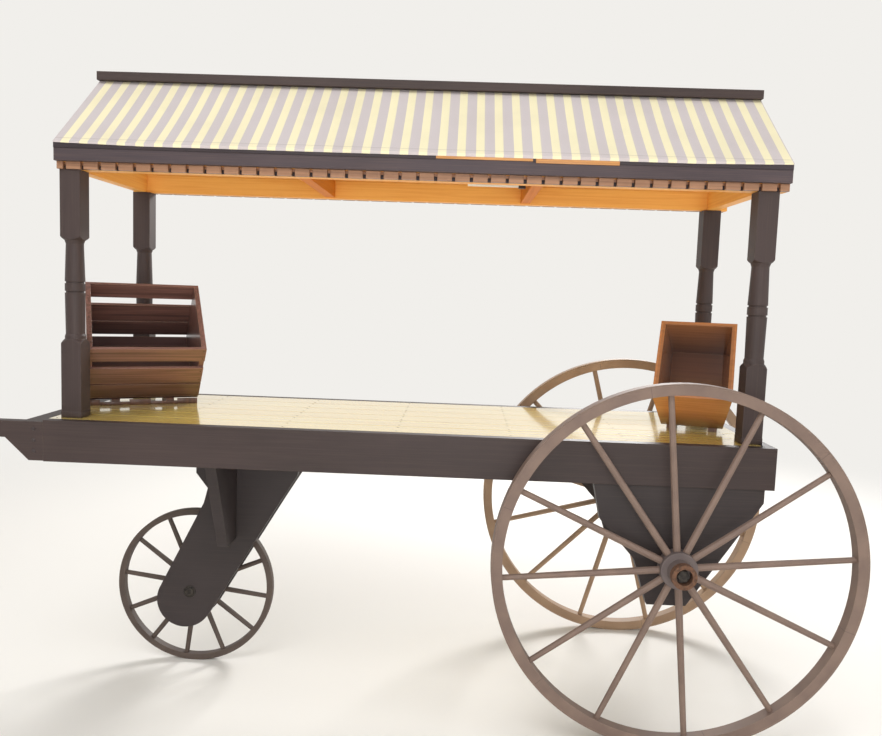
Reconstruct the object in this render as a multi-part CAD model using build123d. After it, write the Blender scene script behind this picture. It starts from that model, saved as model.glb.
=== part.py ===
from build123d import *
import math
import os

os.makedirs("parts", exist_ok=True)

# Vendor cart with a striped gable canopy, two large spoked wheels and one small one.
# Millimetres. +X runs from the handles to the big wheels, +Y away from the serving
# side, +Z up, the floor at z = 0. Lengths below are real sizes.

# Big wheels
big_radius = 604.5
big_rim_depth = 32.0
big_rim_width = 44.0
big_tyre_thickness = 5.0
big_spoke_root_radius = 12.5
big_spoke_tip_radius = 10.0
spoke_count = 12
big_hub_radius = 60.0
big_hub_end_radius = 40.0
big_hub_outboard = 86.0
big_hub_inboard = 66.0
big_hub_shoulder = 26.0
hub_clearance = 14.0
band_length = 26.0
band_bore_radius = 26.0
near_spoke_turn = -5.5
far_spoke_turn = -14.5

# Small wheel
small_radius = 301.0
small_rim_depth = 18.0
small_rim_width = 30.0
small_tyre_thickness = 4.0
small_spoke_root_radius = 11.0
small_spoke_tip_radius = 9.0
small_hub_radius = 40.0
small_hub_end_radius = 30.0
small_hub_length = 72.0
small_hub_shoulder = 16.0
small_spoke_turn = 7.5
wheelbase = 1726.0

# Axles and running clearances
axle_radius = 19.0
small_axle_radius = 12.5
running_gap = 0.05
side_gap = 7.0
nut_radius = 20.0
nut_length = 14.0
nut_recess = 12.0
axle_end = 12.0

# Deck frame
deck_length = 2440.0
deck_width = 800.0
deck_top = 996.0
rear_overhang = 322.0
board_height = 140.0
board_thickness = 38.0
plank_thickness = 20.0
plank_count = 6
plank_gap = 3.0
joist_depth = 90.0
joist_count = 7
end_beam_thickness = 76.0
end_beam_drop = 6.0

# Handles
handle_length = 290.0
handle_grip_height = 56.0
handle_shoulder = 50.0
handle_root_height = 132.0
handle_taper = 80.0
handle_round = 26.0

# Posts
post_size = 68.0
post_inset_front = 65.0
post_inset_rear = 62.0
post_centre_y = 300.0
post_height = 838.0
base_block_height = 255.0
top_block_height = 221.0
shoulder_height = 15.0
collar_height = 10.0
collar_inset = 0.4
waist_inset = 3.5
waist_drop = 8.0
shaft_inset = 1.4
neck_inset = 5.5
neck_height = 12.0
band_height = 26.0
groove_height = 6.0
groove_inset = 5.0

# Roof frame
roof_setback_front = 26.0
roof_setback_rear = 1.0
roof_rise = 324.0
plate_height = 70.0
plate_thickness = 38.0
eave_half_width = 363.0
fascia_thickness = 20.0
fascia_height = 60.0
soffit_thickness = 12.0
cap_width = 92.0
cap_height = 30.0
ridge_board_height = 110.0
ridge_board_thickness = 38.0
rafter_depth = 48.0
rafter_width = 38.0
rafter_pairs = 4
tie_clearance = 4.0
fascia_lift = 14.0
cloth_thickness = 3.0
cloth_gap = 0.3
dentil_pitch = 58.8
dentil_first_gap = 26.0
dentil_width = 48.0
dentil_height = 24.0
dentil_depth = 14.0
dentil_backing = 6.0
dentil_backing_height = 10.0

# Lamp under the roof
lamp_length = 190.0
lamp_radius = 7.0
lamp_holder_length = 26.0
lamp_holder_size = 20.0
lamp_offset_y = 40.0
lamp_drop = 28.0

# Front fork
cheek_thickness = 38.0
cheek_end_radius = 106.0
cheek_end_lead = 20.0
cheek_end_drop = 34.0
cheek_head_offset = 22.0
cheek_head_length = 402.0
cheek_head_height = 86.0
cheek_neck_height = 200.0
cheek_notch = 44.0
cheek_neck_width = 280.0
bolster_thickness = 38.0
bolster_lead = 12.0
bolster_length = 460.0
bolster_width = 700.0
knee_thickness = 38.0
knee_offset = 135.0
knee_reach = 265.0
knee_foot = 110.0
knee_drop = 330.0

# Rear hangers and axle bed
hanger_thickness = 38.0
hanger_inset = 5.0
hanger_front_reach = 270.0
hanger_rear_reach = 292.0
hanger_front_shoulder = 120.0
hanger_rear_shoulder = 45.0
hanger_shoulder_slope = 26.0
hanger_waist = 124.0
hanger_foot_front = 74.0
hanger_foot_rear = 56.0
hanger_foot_drop = 154.0
bed_height = 89.0
bed_thickness = 64.0

# Display crate and bin
crate_width = 408.0
crate_depth = 328.0
crate_height = 308.0
crate_yaw = 26.4
crate_tilt = 45.5
crate_lift = 16.0
crate_pivot_x = 167.5
crate_pivot_y = 33.0
slat_thickness = 10.0
low_slat_bottom = 24.0
low_slat_width = 76.0
slat_gap = 7.0
middle_slat_width = 89.0
top_slat_width = 70.0
floor_slat_width = 62.0
floor_slats = 5
crate_end_thickness = 18.0
crate_stand_inset = 90.0
crate_stand_depth = 150.0
bin_width = 271.0
bin_floor_width = 217.0
bin_depth = 343.0
bin_height = 186.0
bin_wall = 15.0
bin_yaw = -18.6
bin_tilt = 49.0
bin_lift = 14.0
bin_pivot_x = 191.6
bin_pivot_y = -77.0
bin_stand_inset = 20.0
bin_stand_depth = 160.0
stand_thickness = 30.0
stand_toe = 4.0
crate_rail_depth = 15.0
crate_rail_height = 10.0
crate_rail_inset = 10.0

# Fitted places that follow from the sizes above
half_deck = deck_width / 2
inner_half = half_deck - board_thickness
hanger_outer = half_deck - hanger_inset
hanger_inner = hanger_outer - hanger_thickness
track = 2 * (hanger_outer + hub_clearance + big_hub_inboard)
tip_to_rear = big_radius + (deck_length - rear_overhang) + handle_length
axle_x = tip_to_rear / 2 - big_radius
deck_rear = axle_x + rear_overhang
deck_front = deck_rear - deck_length
small_x = axle_x - wheelbase
board_bottom = deck_top - board_height
plank_bottom = deck_top - plank_thickness
joist_bottom = plank_bottom - joist_depth
post_top = deck_top + post_height
plate_top = post_top + plate_height
ridge_height = plate_top + roof_rise
roof_front = deck_front + roof_setback_front
roof_rear = deck_rear - roof_setback_rear
roof_length = roof_rear - roof_front
fascia_inner = eave_half_width - fascia_thickness
fascia_top = plate_top + fascia_lift
fascia_bottom = fascia_top - fascia_height
cap_bottom = ridge_height - cap_height
post_x = (deck_front + post_inset_front, deck_rear - post_inset_rear)


def save(name, *solids):
    """Write the listed solids as one named piece."""
    shapes = []
    for item in solids:
        shapes.extend(item.solids())
    piece = shapes[0] if len(shapes) == 1 else Compound(children=shapes)
    piece.label = name
    export_step(piece, "parts/" + name + ".step")


def block(x0, x1, y0, y1, z0, z1):
    """A plain board between two corners."""
    box = Box(abs(x1 - x0), abs(y1 - y0), abs(z1 - z0))
    return Pos((x0 + x1) / 2, (y0 + y1) / 2, (z0 + z1) / 2) * box


def plank_xz(points, y0, y1):
    """A plank cut to an outline in the x-z plane, between two y faces."""
    face = make_face(Polyline([(x, 0, z) for x, z in points], close=True))
    solid = extrude(face, amount=abs(y1 - y0), dir=(0, 1, 0))
    return Pos(0, min(y0, y1), 0) * solid


def plank_yz(points, x0, x1):
    """A plank cut to an outline in the y-z plane, between two x faces."""
    face = make_face(Polyline([(0, y, z) for y, z in points], close=True))
    solid = extrude(face, amount=abs(x1 - x0), dir=(1, 0, 0))
    return Pos(min(x0, x1), 0, 0) * solid


def lathe_y(points):
    """A body turned about the y axis from (radius, y) points."""
    face = make_face(Polyline([(r, y, 0) for r, y in points], close=True))
    return revolve(face, Axis.Y)


def both_sides(solid):
    """The solid and its mirror image across the cart's long centre plane."""
    return solid, mirror(solid, about=Plane.XZ)


# Deck frame
row_width = 2 * inner_half
plank_width = (row_width - plank_gap * (plank_count - 1)) / plank_count
planks = []
for row in range(plank_count):
    y_near = -inner_half + row * (plank_width + plank_gap)
    planks.append(block(deck_front, deck_rear - board_thickness, y_near,
                        y_near + plank_width, plank_bottom, deck_top))
save("deck_boards", *planks)

side = block(deck_front, deck_rear, -half_deck, -inner_half, board_bottom, deck_top)
save("side_boards", *both_sides(side))

save("end_board_rear", block(deck_rear - board_thickness, deck_rear, -inner_half,
                             inner_half, board_bottom, deck_top))

save("end_beam_front", block(deck_front - end_beam_thickness, deck_front, -inner_half,
                             inner_half, board_bottom + end_beam_drop,
                             deck_top - end_beam_drop))

joist_span = deck_length - 3 * board_thickness
joists = []
for number in range(joist_count):
    x_joist = deck_front + board_thickness + joist_span * number / (joist_count - 1)
    joists.append(block(x_joist - board_thickness, x_joist, -inner_half, inner_half,
                        joist_bottom, plank_bottom))
save("floor_joists", *joists)

# Handles, tapered grips in line with the side boards
root_bottom = deck_top - end_beam_drop - handle_root_height
root_top = deck_top - end_beam_drop
grip_bottom = root_top - handle_grip_height
taper_end = deck_front - handle_shoulder - handle_taper
handle = plank_xz([(deck_front, root_top), (deck_front, root_bottom),
                   (deck_front - handle_shoulder, root_bottom),
                   (taper_end, grip_bottom),
                   (deck_front - handle_length, grip_bottom),
                   (deck_front - handle_length, root_top)],
                  -half_deck, -inner_half)
tip_edges = handle.edges().filter_by(Axis.Y).group_by(Axis.X)[0]
handle = fillet(tip_edges, handle_round)
save("handles", *both_sides(handle))

# Turned posts: a square blank cut by a turned profile
half_post = post_size / 2
corner_radius = post_size * 0.72
collar_radius = half_post - collar_inset
shaft_radius = half_post - shaft_inset
groove_radius = half_post - groove_inset
neck_radius = half_post - neck_inset
base_top = base_block_height
head_bottom = post_height - top_block_height
collar_top = base_top + shoulder_height + collar_height
shaft_bottom = collar_top + waist_drop
shaft_top = head_bottom - neck_height
band_bottom = (shaft_bottom + shaft_top - band_height) / 2
band_top = band_bottom + band_height
turned_outline = [
    (0, 0), (corner_radius, 0), (corner_radius, base_top),
    (collar_radius, base_top + shoulder_height), (collar_radius, collar_top),
    (half_post - waist_inset, shaft_bottom), (shaft_radius, band_bottom - groove_height),
    (groove_radius, band_bottom - groove_height), (groove_radius, band_bottom),
    (shaft_radius, band_bottom), (shaft_radius, band_top), (groove_radius, band_top),
    (groove_radius, band_top + groove_height), (shaft_radius, band_top + groove_height),
    (neck_radius, shaft_top - neck_height), (shaft_radius, shaft_top),
    (corner_radius, head_bottom), (corner_radius, post_height), (0, post_height)]
turned_face = make_face(Polyline([(r, 0, z) for r, z in turned_outline], close=True))
turned = revolve(turned_face, Axis.Z)
blank = block(-half_post, half_post, -half_post, half_post, 0, post_height)
post = blank & turned
posts = []
for x_post in post_x:
    for sign in (-1, 1):
        posts.append(Pos(x_post, sign * post_centre_y, deck_top) * post)
save("posts", *posts)

# Plates and ties on top of the posts
plate_inner = post_centre_y - plate_thickness / 2
plate_outer = post_centre_y + plate_thickness / 2
long_plate = block(roof_front, roof_rear, -plate_outer, -plate_inner,
                   post_top, plate_top)
save("long_plates", *both_sides(long_plate))
end_plates = []
for x_post in post_x:
    end_plates.append(block(x_post - plate_thickness / 2, x_post + plate_thickness / 2,
                            -plate_inner, plate_inner, post_top, plate_top))
save("end_plates", *end_plates)

rafter_first = roof_front + rafter_width / 2
rafter_step = (roof_length - rafter_width) / (rafter_pairs - 1)
rafter_x = [rafter_first + rafter_step * number for number in range(rafter_pairs)]
ties = []
for x_tie in rafter_x[1:-1]:
    ties.append(block(x_tie - rafter_width / 2, x_tie + rafter_width / 2,
                      -plate_inner, plate_inner, post_top + tie_clearance, plate_top))
save("tie_beams", *ties)

# Rafters between the ridge board and the eaves
half_ridge = ridge_board_thickness / 2
cloth_skin = cloth_gap + cloth_thickness
eave_line = fascia_top - cloth_skin
slope = 0.6
for refinement in range(12):
    ridge_line = cap_bottom - cloth_gap - cloth_skin / math.cos(slope)
    slope = math.atan2(ridge_line - eave_line, fascia_inner - half_ridge)
drop = rafter_depth / math.cos(slope)
soffit_top = fascia_bottom + soffit_thickness
tail_y = fascia_inner - (soffit_top - (eave_line - drop)) / math.tan(slope)
rafter_outline = [
    (-fascia_inner, soffit_top), (-fascia_inner, eave_line),
    (-half_ridge, ridge_line), (-half_ridge, ridge_line - drop),
    (-tail_y, soffit_top)]
rafters = []
for x_rafter in rafter_x:
    blank = plank_yz(rafter_outline, x_rafter - rafter_width / 2,
                     x_rafter + rafter_width / 2)
    rafters.extend(both_sides(blank - [long_plate, *end_plates, *ties]))
save("rafters", *rafters)

save("ridge_board", block(roof_front, roof_rear, -half_ridge, half_ridge,
                          cap_bottom - ridge_board_height, cap_bottom))
save("ridge_cap", block(roof_front, roof_rear, -cap_width / 2, cap_width / 2,
                        cap_bottom, ridge_height))

# Fascia, soffit and dentil trim along each eave
fascia = block(roof_front, roof_rear, -eave_half_width, -fascia_inner,
               fascia_bottom, fascia_top)
save("fascias", *both_sides(fascia))
soffit = block(roof_front, roof_rear, -fascia_inner, -plate_outer,
               fascia_bottom, soffit_top)
save("soffits", *both_sides(soffit))

dentil_back = fascia_inner - dentil_depth
dentil = block(roof_front, roof_rear, -dentil_back, -dentil_back + dentil_backing,
               fascia_bottom - dentil_backing_height, fascia_bottom)
half_gap = (dentil_pitch - dentil_width) / 2
gap_row = roof_length - dentil_first_gap - dentil_width / 2
gap_x = [roof_front - half_gap]
for number in range(int(gap_row / dentil_pitch) + 1):
    gap_x.append(roof_front + dentil_first_gap + dentil_pitch * number)
gap_x.append(roof_rear + half_gap)
teeth = []
for gap_before, gap_after in zip(gap_x, gap_x[1:]):
    teeth.append(block(gap_before + half_gap, gap_after - half_gap,
                       -fascia_inner, -dentil_back,
                       fascia_bottom - dentil_height, fascia_bottom))
dentil = dentil + teeth
save("dentil_trim", *both_sides(dentil))

# Canopy cloth, one stretched panel each side of the ridge
cloth_rise = cloth_gap / math.cos(slope)
cloth_top = cloth_skin / math.cos(slope)
cloth_outer = fascia_inner - cloth_gap
cloth_lift = cloth_gap * math.tan(slope)
cloth_outline = [
    (-cloth_outer, eave_line + cloth_rise + cloth_lift),
    (-cloth_outer, eave_line + cloth_top + cloth_lift),
    (-half_ridge - cloth_gap, ridge_line + cloth_top - cloth_lift),
    (-half_ridge - cloth_gap, ridge_line + cloth_rise - cloth_lift)]
cloth = plank_yz(cloth_outline, roof_front, roof_rear)
save("canopy_near", cloth)
save("canopy_far", mirror(cloth, about=Plane.XZ))

# Lamp held on one tie beam
lamp_z = plate_top - lamp_drop
lamp_face = rafter_x[2] - rafter_width / 2
half_holder = lamp_holder_size / 2
save("lamp_holder", block(lamp_face - lamp_holder_length, lamp_face,
                          lamp_offset_y - half_holder, lamp_offset_y + half_holder,
                          lamp_z - half_holder, lamp_z + half_holder))
lamp_mid = lamp_face - lamp_holder_length - lamp_length / 2
save("lamp_tube", Pos(lamp_mid, lamp_offset_y, lamp_z) * Rot(0, 90, 0) * Cylinder(
    lamp_radius, lamp_length))

# Fork for the small wheel
cheek_inner = small_hub_length / 2 + side_gap
cheek_outer = cheek_inner + cheek_thickness
bolster_top = joist_bottom
bolster_bottom = bolster_top - bolster_thickness
bolster_front = small_x + bolster_lead
save("fork_bolster", block(bolster_front, bolster_front + bolster_length,
                           -bolster_width / 2, bolster_width / 2,
                           bolster_bottom, bolster_top))
axle_hole = Pos(small_x, 0, small_radius) * Rot(90, 0, 0) * Cylinder(
    small_axle_radius, 4 * cheek_outer)
head_front = small_x + cheek_head_offset
head_rear = head_front + cheek_head_length
neck_z = bolster_bottom - cheek_neck_height
neck_front = head_front + cheek_notch * 2 / 3
neck_rear = neck_front + cheek_neck_width
mid_neck = (neck_front + neck_rear) / 2
end_x = small_x - cheek_end_lead
end_z = small_radius - cheek_end_drop
lean = math.atan2(mid_neck - end_x, neck_z - end_z)
side_x = cheek_end_radius * math.cos(lean)
side_z = cheek_end_radius * math.sin(lean)
cheek_outline = [
    (head_front, bolster_bottom), (head_front, bolster_bottom - cheek_head_height),
    (head_front + cheek_notch, (bolster_bottom - cheek_head_height + neck_z) / 2),
    (neck_front, neck_z), (end_x - side_x, end_z + side_z),
    (end_x + side_x, end_z - side_z), (neck_rear, neck_z),
    (head_rear - cheek_notch / 2, bolster_bottom - cheek_head_height),
    (head_rear, bolster_bottom)]
cheek = plank_xz(cheek_outline, -cheek_outer, -cheek_inner)
cheek_end = Pos(end_x, -(cheek_inner + cheek_outer) / 2, end_z) * Rot(
    90, 0, 0) * Cylinder(cheek_end_radius, cheek_thickness)
cheek = cheek + cheek_end - axle_hole
save("fork_cheeks", *both_sides(cheek))
knee_mid = head_front + knee_offset
knee_bottom = bolster_bottom - knee_drop
knee = plank_yz([(-cheek_outer, bolster_bottom),
                 (-cheek_outer - knee_reach, bolster_bottom),
                 (-cheek_outer - knee_foot, knee_bottom), (-cheek_outer, knee_bottom)],
                knee_mid - knee_thickness / 2, knee_mid + knee_thickness / 2)
save("fork_knees", *both_sides(knee))
save("front_axle", Pos(small_x, 0, small_radius) * Rot(90, 0, 0) * Cylinder(
    small_axle_radius, 2 * (cheek_outer + axle_end)))

# Rear hangers, axle bed and axle
foot_z = big_radius - hanger_foot_drop
hanger_outline = [
    (axle_x - hanger_front_reach, board_bottom),
    (axle_x - hanger_front_reach + hanger_shoulder_slope,
     board_bottom - hanger_front_shoulder),
    (axle_x - hanger_waist, big_radius), (axle_x - hanger_foot_front, foot_z),
    (axle_x + hanger_foot_rear, foot_z),
    (axle_x + hanger_rear_reach, board_bottom - hanger_rear_shoulder),
    (axle_x + hanger_rear_reach, board_bottom)]
big_axle_hole = Pos(axle_x, 0, big_radius) * Rot(90, 0, 0) * Cylinder(
    axle_radius, 2 * track)
hanger = plank_xz(hanger_outline, -hanger_outer, -hanger_inner) - big_axle_hole
save("rear_hangers", *both_sides(hanger))
bed = block(axle_x - bed_thickness / 2, axle_x + bed_thickness / 2, -hanger_inner,
            hanger_inner, big_radius - bed_height / 2, big_radius + bed_height / 2)
save("axle_bed", bed - big_axle_hole)

hub_outer_end = track / 2 + big_hub_outboard
nut_outer = hub_outer_end - nut_recess
nut_inner = nut_outer - nut_length
save("rear_axle", Pos(axle_x, 0, big_radius) * Rot(90, 0, 0) * Cylinder(
    axle_radius, 2 * nut_inner))
nut = Pos(axle_x, -(nut_inner + nut_outer) / 2, big_radius) * Rot(
    90, 0, 0) * extrude(RegularPolygon(nut_radius, 6), amount=nut_length / 2,
                        both=True)
save("rear_axle_nuts", *both_sides(nut))


def spoke_set(root_radius, tip_radius, hub_skin, rim_skin, hub, rim):
    """Tapered eight-sided spokes seated on hub and rim, repeated round the wheel."""
    root = Plane.XY.offset(hub_skin - root_radius) * RegularPolygon(root_radius, 8)
    tip = Plane.XY.offset(rim_skin + tip_radius / 2) * RegularPolygon(tip_radius, 8)
    spoke = loft([root, tip]) - hub - rim
    spoke = spoke.solids().sort_by(SortBy.VOLUME)[-1]
    step = 360.0 / spoke_count
    return [Rot(0, number * step, 0) * spoke for number in range(spoke_count)]


def ring(outer, inner, width):
    """A flat ring round the y axis."""
    return Rot(90, 0, 0) * (Cylinder(outer, width) - Cylinder(inner, 2 * width))


# Big wheels, built with their outer face towards -y
rim_outer = big_radius - big_tyre_thickness
rim_inner = rim_outer - big_rim_depth
big_tyre = ring(big_radius, rim_outer, big_rim_width)
big_rim = ring(rim_outer, rim_inner, big_rim_width)
bore = axle_radius + running_gap
band_inner_y = -big_hub_outboard + band_length
seat_y = -big_hub_outboard + nut_recess + nut_length + side_gap
big_hub = lathe_y([
    (bore, seat_y), (band_bore_radius, seat_y), (band_bore_radius, band_inner_y),
    (big_hub_end_radius, band_inner_y), (big_hub_end_radius, -big_hub_shoulder),
    (big_hub_radius, -big_hub_shoulder), (big_hub_radius, big_hub_shoulder),
    (big_hub_end_radius, big_hub_shoulder), (big_hub_end_radius, big_hub_inboard),
    (bore, big_hub_inboard)])
big_band = lathe_y([
    (band_bore_radius, -big_hub_outboard), (big_hub_end_radius, -big_hub_outboard),
    (big_hub_end_radius, band_inner_y), (band_bore_radius, band_inner_y)])
big_spokes = spoke_set(big_spoke_root_radius, big_spoke_tip_radius, big_hub_radius,
                       rim_inner, big_hub, big_rim)
wheel_pieces = (("tyre", [big_tyre]), ("rim", [big_rim]), ("spokes", big_spokes),
                ("hub", [big_hub]), ("hub_band", [big_band]))
for hand, sign, turn in (("near", -1, near_spoke_turn), ("far", 1, far_spoke_turn)):
    place = Pos(axle_x, sign * track / 2, big_radius) * Rot(0, turn, 0)
    for piece_name, solids in wheel_pieces:
        placed = []
        for solid in solids:
            turned_solid = solid if sign < 0 else mirror(solid, about=Plane.XZ)
            placed.append(place * turned_solid)
        save("wheel_" + hand + "_" + piece_name, *placed)

# Small wheel
small_rim_outer = small_radius - small_tyre_thickness
small_rim_inner = small_rim_outer - small_rim_depth
small_tyre = ring(small_radius, small_rim_outer, small_rim_width)
small_rim = ring(small_rim_outer, small_rim_inner, small_rim_width)
half_hub = small_hub_length / 2
small_bore = small_axle_radius + running_gap
small_hub = lathe_y([
    (small_bore, -half_hub), (small_hub_end_radius, -half_hub),
    (small_hub_end_radius, -small_hub_shoulder),
    (small_hub_radius, -small_hub_shoulder), (small_hub_radius, small_hub_shoulder),
    (small_hub_end_radius, small_hub_shoulder), (small_hub_end_radius, half_hub),
    (small_bore, half_hub)])
small_spokes = spoke_set(small_spoke_root_radius, small_spoke_tip_radius,
                         small_hub_radius, small_rim_inner, small_hub, small_rim)
place = Pos(small_x, 0, small_radius) * Rot(0, small_spoke_turn, 0)
for piece_name, solids in (("tyre", [small_tyre]), ("rim", [small_rim]),
                           ("spokes", small_spokes), ("hub", [small_hub])):
    save("front_wheel_" + piece_name, *[place * solid for solid in solids])

# Slatted display crate, tipped towards the serving side
half_crate = crate_width / 2
end_inner = half_crate - crate_end_thickness
crate_place = Pos(deck_front + crate_pivot_x, crate_pivot_y, deck_top) * Rot(
    0, 0, crate_yaw)
crate_turn = crate_place * Pos(0, 0, crate_lift) * Rot(crate_tilt, 0, 0)
middle_slat_bottom = low_slat_bottom + low_slat_width + slat_gap
wall_rows = ((low_slat_bottom, low_slat_width), (middle_slat_bottom, middle_slat_width),
             (crate_height - top_slat_width, top_slat_width))
floor_step = (crate_depth - floor_slat_width) / (floor_slats - 1)
slats = []
for z_slat, slat_width in wall_rows:
    for y_wall in (0, crate_depth - slat_thickness):
        slats.append(block(-half_crate, half_crate, y_wall, y_wall + slat_thickness,
                           z_slat, z_slat + slat_width))
for row in range(floor_slats):
    y_from = max(row * floor_step, slat_thickness)
    y_to = min(row * floor_step + floor_slat_width, crate_depth - slat_thickness)
    slats.append(block(-end_inner, end_inner, y_from, y_to, 0, slat_thickness))
ends = []
for sign in (-1, 1):
    ends.append(block(sign * end_inner, sign * half_crate, slat_thickness,
                      crate_depth - slat_thickness, 0, crate_height))
save("crate_slats", *[crate_turn * slat for slat in slats])
save("crate_ends", *[crate_turn * end for end in ends])

# Solid-sided display bin
half_bin = bin_width / 2
half_floor = bin_floor_width / 2
bin_place = Pos(deck_rear - bin_pivot_x, bin_pivot_y, deck_top) * Rot(0, 0, bin_yaw)
bin_turn = bin_place * Pos(0, 0, bin_lift) * Rot(bin_tilt, 0, 0)
outer_face = make_face(Polyline([(-half_floor, 0, 0), (half_floor, 0, 0),
                                 (half_bin, 0, bin_height),
                                 (-half_bin, 0, bin_height)], close=True))
inner_face = make_face(Polyline([(-half_floor + bin_wall, 0, bin_wall),
                                 (half_floor - bin_wall, 0, bin_wall),
                                 (half_bin - bin_wall, 0, bin_height + bin_wall),
                                 (-half_bin + bin_wall, 0, bin_height + bin_wall)],
                                close=True))
bin_outer = extrude(outer_face, amount=bin_depth, dir=(0, 1, 0))
bin_inner = Pos(0, bin_wall, 0) * extrude(inner_face, amount=bin_depth - 2 * bin_wall,
                                          dir=(0, 1, 0))
save("bin_box", bin_turn * (bin_outer - bin_inner))


def stand(width, depth, tilt, lift):
    """Two sloping bearers that hold a tipped box off the deck."""
    rise = math.tan(math.radians(tilt))
    outline = [(stand_toe, 0), (depth, 0), (depth, lift + depth * rise),
               (stand_toe, lift + stand_toe * rise)]
    bearers = []
    for sign in (-1, 1):
        x_inner = sign * (width / 2 - stand_thickness)
        bearers.append(plank_yz(outline, x_inner, sign * width / 2))
    return bearers


rail_end = half_crate - crate_rail_inset
crate_rail = block(-rail_end, rail_end, stand_toe, stand_toe + crate_rail_depth,
                   0, crate_rail_height)
crate_bearers = stand(crate_width - 2 * crate_stand_inset, crate_stand_depth,
                      crate_tilt, crate_lift)
save("crate_stand", crate_place * (crate_rail + crate_bearers))
bin_bearers = stand(bin_floor_width - 2 * bin_stand_inset, bin_stand_depth,
                    bin_tilt, bin_lift)
save("bin_stand", *[bin_place * bearer for bearer in bin_bearers])
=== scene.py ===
"""Looks of a wooden vendor cart: painted frame and wheels, varnished deck and roof
timbers, striped canvas canopy, iron fittings, studio, lights and camera."""
import math

import bpy
from mathutils import Matrix, Vector


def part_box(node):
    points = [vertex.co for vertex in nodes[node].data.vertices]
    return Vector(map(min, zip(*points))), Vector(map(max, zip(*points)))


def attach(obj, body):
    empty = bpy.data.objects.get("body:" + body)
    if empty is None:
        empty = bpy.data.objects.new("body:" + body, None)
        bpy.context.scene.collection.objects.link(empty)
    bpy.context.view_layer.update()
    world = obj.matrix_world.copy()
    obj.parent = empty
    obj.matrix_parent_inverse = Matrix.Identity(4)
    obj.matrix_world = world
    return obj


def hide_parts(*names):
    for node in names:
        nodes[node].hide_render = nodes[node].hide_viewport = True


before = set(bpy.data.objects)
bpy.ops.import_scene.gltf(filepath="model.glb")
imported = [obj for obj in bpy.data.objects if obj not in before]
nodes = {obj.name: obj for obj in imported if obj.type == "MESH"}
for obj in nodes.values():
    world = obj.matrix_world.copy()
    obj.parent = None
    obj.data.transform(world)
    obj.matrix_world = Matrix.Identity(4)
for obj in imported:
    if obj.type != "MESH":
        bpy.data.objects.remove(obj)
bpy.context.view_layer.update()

MM = 0.001
air = 0.2 * MM  # left between a thin added piece and the wood beside it
strip_proud = 3 * MM  # how far the eave strips stand off the fascias

# Places read from the frame
deck_low, deck_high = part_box("deck_boards")
board_low, board_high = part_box("side_boards")
fascia_low, fascia_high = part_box("fascias")
rafter_low, rafter_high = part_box("rafters")
joist_low, joist_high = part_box("floor_joists")

# Deck planks, lying side by side with a gap between them
plank_count, plank_gap = 6, 3 * MM
plank_pitch = (deck_high.y - deck_low.y + plank_gap) / plank_count

# Rafter pairs and the bays between them
rafter_width, rafter_bays = 38 * MM, 3
rafter_step = (rafter_high.x - rafter_low.x - rafter_width) / rafter_bays

# The tipped display boxes: pivot, then turn about x, y and z
crate_tip = (Vector((board_low.x + 167.5 * MM, 33 * MM, board_high.z + 16 * MM)),
             (math.radians(45.5), 0, math.radians(26.4)))
bin_tip = (Vector((board_high.x - 191.6 * MM, -77 * MM, board_high.z + 14 * MM)),
           (math.radians(49), 0, math.radians(-18.6)))
# Painted shade darkens the boxes towards their feet, up to these heights
crate_shade_height, bin_shade_height = 170 * MM, 110 * MM  # heights up to which their feet are darker

# The bin's inside: half widths of floor and rim, depth, height and wall
bin_hollow = (108.5 * MM, 135.5 * MM, 343 * MM, 186 * MM, 15 * MM)

# The canopy panels: stretched length, slope from the ridge to the eave, and hem
cloth_thickness, hem_drop = 1.2 * MM, 9 * MM
canopy_low, canopy_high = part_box("canopy_near")
canvas_run = canopy_high.x - canopy_low.x
eave_y = fascia_high.y + strip_proud + cloth_thickness / 2 + air
eave_z = fascia_high.z + cloth_thickness / 2 + air
canvas_slope = math.hypot(canopy_high.z - eave_z, canopy_high.y + eave_y)
canvas_depth = canvas_slope + hem_drop


# Colours and nodes
def linear(hex_code):
    """Turn an sRGB hex colour into linear red, green, blue and alpha."""
    shares = [int(hex_code[i:i + 2], 16) / 255 for i in (1, 3, 5)]
    return [c / 12.92 if c <= 0.04045 else ((c + 0.055) / 1.055) ** 2.4
            for c in shares] + [1.0]


def add(tree, kind, inputs=None, stops=None, **settings):
    """Add a node, set its properties and ramp stops, then set or link its inputs."""
    made = tree.nodes.new("ShaderNode" + kind)
    for name, value in settings.items():
        setattr(made, name, value)
    for key, value in (inputs or {}).items():
        if isinstance(value, bpy.types.NodeSocket):
            tree.links.new(value, made.inputs[key])
        else:
            made.inputs[key].default_value = value
    for number, (place, colour) in enumerate(stops or ()):
        if number > 1:
            made.color_ramp.elements.new(place)
        stop = made.color_ramp.elements[number]
        stop.position = place
        stop.color = linear(colour)
    return made


def new_material(name):
    """A material with an empty Principled shader; returns it, its tree and shader."""
    made = bpy.data.materials.new(name)
    made.use_nodes = True
    return made, made.node_tree, made.node_tree.nodes["Principled BSDF"]


def set_inputs(tree, shader, **values):
    """Set or link the shader's sockets, whose names are given with underscores."""
    for name, value in values.items():
        socket = shader.inputs[name.replace("_", " ")]
        if isinstance(value, bpy.types.NodeSocket):
            tree.links.new(value, socket)
        else:
            socket.default_value = value


def in_box(tree, tipped):
    """Coordinates along a tipped box's own axes, measured from its pivot."""
    pivot, turn = tipped
    return add(tree, "Mapping", {"Vector": add(tree, "TexCoord").outputs["Object"],
                                 "Location": pivot, "Rotation": turn},
               vector_type="TEXTURE").outputs["Vector"]


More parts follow.
